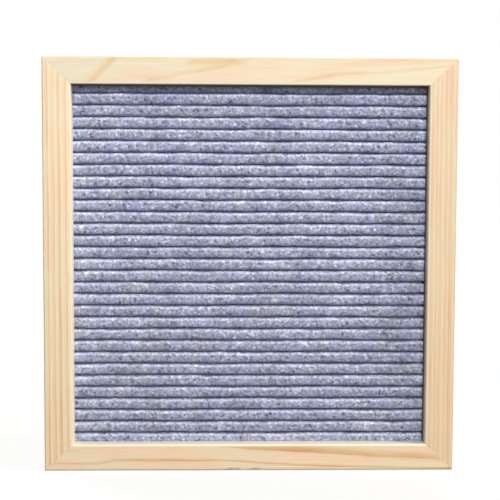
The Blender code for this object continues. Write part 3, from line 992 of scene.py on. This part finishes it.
# %% Fibres
FIBRES_A_ROW = 290
FIBRE_RADIUS = 0.028 * MM
BRIDGE_DROP = 0.30
FIBRE_MARGIN = 11 * MM
FIBRE_POINTS = 11


def fibre_lines(row, count, rng):
    """Centre lines on one ridge, as fibres by points by xyz.

    A fibre starts anywhere on the ridge and runs off at any angle, mostly level. At each
    point the ridge's formula gives the depth, held shallow over a slot, less a low arch.
    """
    along = np.linspace(0, 1, 5)[None, :]
    start_x = rng.uniform(felt_low.x + FIBRE_MARGIN, felt_high.x - FIBRE_MARGIN, (count, 1))
    start_t = rng.uniform(-1.0, 1.0, (count, 1))
    angle = rng.normal(0, 0.9, (count, 1))
    length = rng.uniform(1.2, 3.4, (count, 1)) * MM
    curl = rng.uniform(-0.35, 0.35, (count, 1)) * length * np.sin(np.pi * along)
    x = start_x + np.cos(angle) * length * along - np.sin(angle) * curl
    drift, half = slot_wobble(start_x[:, 0])
    low = (slot_heights[row - 1] + drift[row - 1] + half[row - 1])[:, None]
    high = (slot_heights[row] + drift[row] - half[row])[:, None]
    z = (low + high) / 2 + start_t * (high - low) / 2
    z = z + np.sin(angle) * length * along + np.cos(angle) * curl
    t = np.clip((z - (low + high) / 2) / ((high - low) / 2), -1, 1)
    deep, power = FRONT_TURN
    drop = np.minimum(rounding(t, power), BRIDGE_DROP)
    swell = ridge_swell(x, row) * (1 - t * t)
    lift = rng.uniform(0.02, 0.30, (count, 1)) * MM * np.sin(np.pi * along)
    return np.stack([x, CREST + swell + deep * drop - lift, z], axis=-1)


def pointed_tubes(lines, radius):
    """Three-sided tubes round lines of five points: a tip, three rings and a tip."""
    count = len(lines)
    runs = lines[:, 2:] - lines[:, :-2]
    runs /= np.linalg.norm(runs, axis=-1, keepdims=True)
    side = np.cross(runs, [0.0, 1.0, 0.0])
    side /= np.maximum(np.linalg.norm(side, axis=-1, keepdims=True), 1e-9)
    other = np.cross(side, runs)
    turn = np.arange(3) * 2 * np.pi / 3
    spokes = side[:, :, None] * np.cos(turn)[:, None] + other[:, :, None] * np.sin(turn)[:, None]
    rings = lines[:, 1:4, None] + radius * spokes
    points = np.concatenate([lines[:, :1], rings.reshape(count, 9, 3), lines[:, -1:]], axis=1)
    tips = [[0, 2, 1], [0, 3, 2], [0, 1, 3], [10, 7, 8], [10, 8, 9], [10, 9, 7]]
    walls = [
        [ring + k, ring + (k + 1) % 3, ring + 3 + (k + 1) % 3, ring + 3 + k]
        for ring in (1, 4) for k in range(3)
    ]
    offset = (np.arange(count) * FIBRE_POINTS)[:, None, None]
    faces = (np.array(tips) + offset).reshape(-1, 3).tolist()
    faces += (np.array(walls) + offset).reshape(-1, 4).tolist()
    return points.reshape(-1, 3), faces


fibre_rng = np.random.default_rng(5)
all_lines = [fibre_lines(row, FIBRES_A_ROW, fibre_rng) for row in range(1, SLOT_COUNT)]
fibre_points, fibre_faces = pointed_tubes(np.concatenate(all_lines), FIBRE_RADIUS)
fuzz = mesh_object("felt_fibres", fibre_points, fibre_faces)
fuzz.data.shade_smooth()
print("fibres:", len(fibre_points) // FIBRE_POINTS)


def fibre_material():
    """Loose fibres in the felt's own greys, each mostly of one tone."""
    paint = Paint("felt_fibre", Roughness=0.9, Specular_IOR_Level=0.2)
    tone = paint.noise(paint.place(), 330.0, 2.0, 0.6)
    stops = [(0.36, colour(78, 82, 112)), (0.50, FELT_MID), (0.60, FELT_LIGHT)]
    paint.set("Base Color", paint.ramp(tone, stops))
    paint.set("Roughness", 0.85 + 0.1 * tone)
    return paint.material


fuzz.data.materials.append(fibre_material())
for thing in (felt, fuzz):
    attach(thing, "root")
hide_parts("felt_sheet")

# %% [markdown]
# ## Fibreboard and steel
#
# The back isn't in the photograph, so it is finished plainly. The core is hard fibreboard:
# brown, with fine light and dark fibres pressed flat. The fixings are zinc-plated steel, which
# has a soft brushed shine and faint crystals in its plating.

# %% Fibreboard and steel


def fibreboard_material():
    """Brown board: short pressed fibres and slow clouds, added and turned into tones."""
    paint = Paint("fibreboard", Roughness=0.8, Specular_IOR_Level=0.25)
    place = paint.place()
    x, y, z = paint.split(place)
    fibres = paint.noise(paint.join(x * 1.4, y, z * 0.8), 900.0, 4.0, 0.7, 1.6)
    clouds = paint.noise(place, 45.0, 3.0, 0.6, 0.4)
    tones = [(0.28, colour(92, 62, 38)), (0.5, colour(136, 97, 63)), (0.72, colour(172, 131, 91))]
    paint.set("Base Color", paint.ramp(fibres * 0.75 + clouds * 0.25, tones))
    paint.set("Roughness", 0.72 + 0.2 * fibres)
    paint.bump(fibres, 0.12 * MM, 0.5)
    return paint.material


def steel_material():
    """Zinc plating: crystals of two greys, duller stains, and fine lines from the rolls."""
    paint = Paint("zinc_steel", Metallic=1.0)
    place = paint.place()
    x, y, z = paint.split(place)
    cells = {"Vector": place, "Scale": 700.0}
    crystals = paint.node("TexVoronoi", {"feature": "F1"}, cells, "Color")
    spread = paint.node("RGBToBW", inputs={0: crystals})
    rolled = paint.noise(paint.join(x * 0.15, y, z * 1.5), 2600.0, 3.0, 0.6)
    stain = paint.noise(place, 260.0, 3.0, 0.65)
    plated = paint.ramp(spread, [(0.2, colour(157, 160, 163)), (0.8, colour(172, 175, 176))])
    dull = paint.span(stain, 0.52, 0.70, 0.0, 0.7)
    paint.set("Base Color", paint.mix(dull, plated, colour(120, 118, 112)))
    paint.set("Roughness", 0.28 + 0.14 * rolled + 0.06 * spread + 0.16 * dull)
    paint.bump(rolled * 0.6 + stain * 0.4, 0.03 * MM, 0.5)
    return paint.material


def give(node_name, material):
    """Puts one material in every slot of a node of the model."""
    mesh = nodes[node_name].data
    mesh.materials.clear()
    mesh.materials.append(material)


give("core_board", fibreboard_material())
steel = steel_material()
for name in [*fixings, "sawtooth_hanger"]:
    give(name, steel)
print("steel fixings:", len(fixings) + 1)

# %% [markdown]
# ## Floor and background
#
# The photograph's background is plain white. The world is white only for rays that come from
# the camera, a mirror or a glass, so it adds hardly any light to the board. The floor shows
# those rays a little of its own shading near the board, which keeps the board's shadow, and
# plain white for the rest. To all other rays it is a dull grey that throws little light up,
# because the photograph has hardly any on the underside of the top rail.

# %% World and floor
SEEN_RAYS = ("Is Camera Ray", "Is Glossy Ray", "Is Transmission Ray")
WHITE = (1, 1, 1, 1)
WORLD_LIGHT = 0.05
FLOOR_REACH = 3.0
FLOOR_SHADING = 0.20
SHADING_FULL, SHADING_GONE = 0.22, 0.80
FLOOR_GLOW = 1.03
FLOOR_DROP = 0.2 * MM


def seen_ray(paint):
    """1 for a ray that shows the scene to the camera, straight or by a mirror or glass."""
    rays = [paint.node("LightPath", output=ray) for ray in SEEN_RAYS]
    return paint.maths("MAXIMUM", paint.maths("MAXIMUM", rays[0], rays[1]), rays[2])


def white_world(strength):
    """A world that shows plain white and lights everything else by its strength only."""
    world = bpy.data.worlds.new("white_room")
    bpy.context.scene.world = world
    paint = Paint(world, Color=colour(255, 252, 248), Strength=strength)
    light = Value(paint, paint.shader.outputs[0])
    white = paint.node("Background", inputs={"Color": WHITE, "Strength": 1.0})
    mixed = paint.node("MixShader", inputs={0: seen_ray(paint), 1: light, 2: white})
    paint.feed(paint.tree.nodes["World Output"].inputs["Surface"], mixed)


def floor_object(size, shading):
    """A pale floor that shows its own shading by a share, and plain white for the rest."""
    points = np.array([[-1, -1, 0], [1, -1, 0], [1, 1, 0], [-1, 1, 0]]) * size
    thing = mesh_object("floor", points + np.array([0, 0, BOTTOM - FLOOR_DROP]), [[0, 1, 2, 3]])
    paint = Paint("pale_floor", Roughness=0.9, Base_Color=colour(236, 236, 236))
    own = Value(paint, paint.shader.outputs[0])
    far = paint.node("VectorMath", {"operation": "LENGTH"}, {0: paint.place()}, "Value")
    shading = paint.span(far, SHADING_FULL, SHADING_GONE, shading, 0.0)
    glow = paint.node("Emission", inputs={"Color": WHITE, "Strength": FLOOR_GLOW})
    dull = paint.node("BsdfDiffuse", inputs={"Color": colour(120, 118, 115)})
    shown = paint.node("MixShader", inputs={0: 1 - shading, 1: own, 2: glow})
    mixed = paint.node("MixShader", inputs={0: seen_ray(paint), 1: dull, 2: shown})
    paint.feed(paint.tree.nodes["Material Output"].inputs["Surface"], mixed)
    thing.data.materials.append(paint.material)
    return thing


white_world(WORLD_LIGHT)
floor = floor_object(FLOOR_REACH, FLOOR_SHADING)
print("floor faces up:", floor.data.polygons[0].normal.z > 0)

# %% [markdown]
# ## Light
#
# Three soft lamps make the photograph's light. The key stands nearly in front and 29 degrees
# up: the shade that the top rail throws on the first ridge gives that angle. A wide low lamp
# beside it fills the shade. A warm raking lamp far to the upper right lights what faces up or
# right: the ledge of the bottom rail, the left stile's inner wall and the upper shoulder of
# every ridge. Two more lamps stand low behind the board's own plane, so that its back and its
# sides can be seen, and reach nothing that the photograph shows.
#
# Each lamp's power comes from the level that it should give on the board's face. A disk lamp
# of power P at distance d lights a white face to P cos(a) / (pi d) ^ 2, where a is the angle
# at which the light comes in. The levels add up to about 1, so that a colour shows as written.

# %% Lamps
CENTRE = np.array([0.0, FRONT, MID_Z])


def lamp(name, right, up, distance, size, level, tone):
    """A disk lamp aimed at the board's middle from angles right and up, in degrees."""
    right, up = math.radians(right), math.radians(up)
    level_part = math.cos(up) * np.array([math.sin(right), -math.cos(right), 0.0])
    toward = level_part + np.array([0.0, 0.0, math.sin(up)])
    data = bpy.data.lights.new(name, "AREA")
    data.shape = "DISK"
    data.size = size
    data.energy = level * (math.pi * distance) ** 2 / abs(toward[1])
    data.color = colour(*tone)[:3]
    thing = add_object(name, data)
    thing.location = CENTRE + toward * distance
    thing.rotation_euler = Vector(-toward).to_track_quat("-Z", "Y").to_euler()
    print(name, "lamp:", round(data.energy, 1), "W at level", level)


lamp("key", 4, 29, 1.15, 0.22, 0.44, (255, 254, 251))
lamp("fill", 6, 14, 1.6, 0.85, 0.33, (251, 252, 255))
lamp("rake", 74, 36, 1.8, 0.55, 0.15, (255, 249, 239))
lamp("back_left", -128, 17, 1.7, 0.9, 0.42, (252, 252, 255))
lamp("back_right", 156, 21, 1.7, 0.9, 0.40, (255, 252, 248))

# %% [markdown]
# ## Finish
#
# The plain Standard view keeps colours as they are written.

# %% Finish
scene = bpy.context.scene
scene.view_settings.view_transform = "Standard"
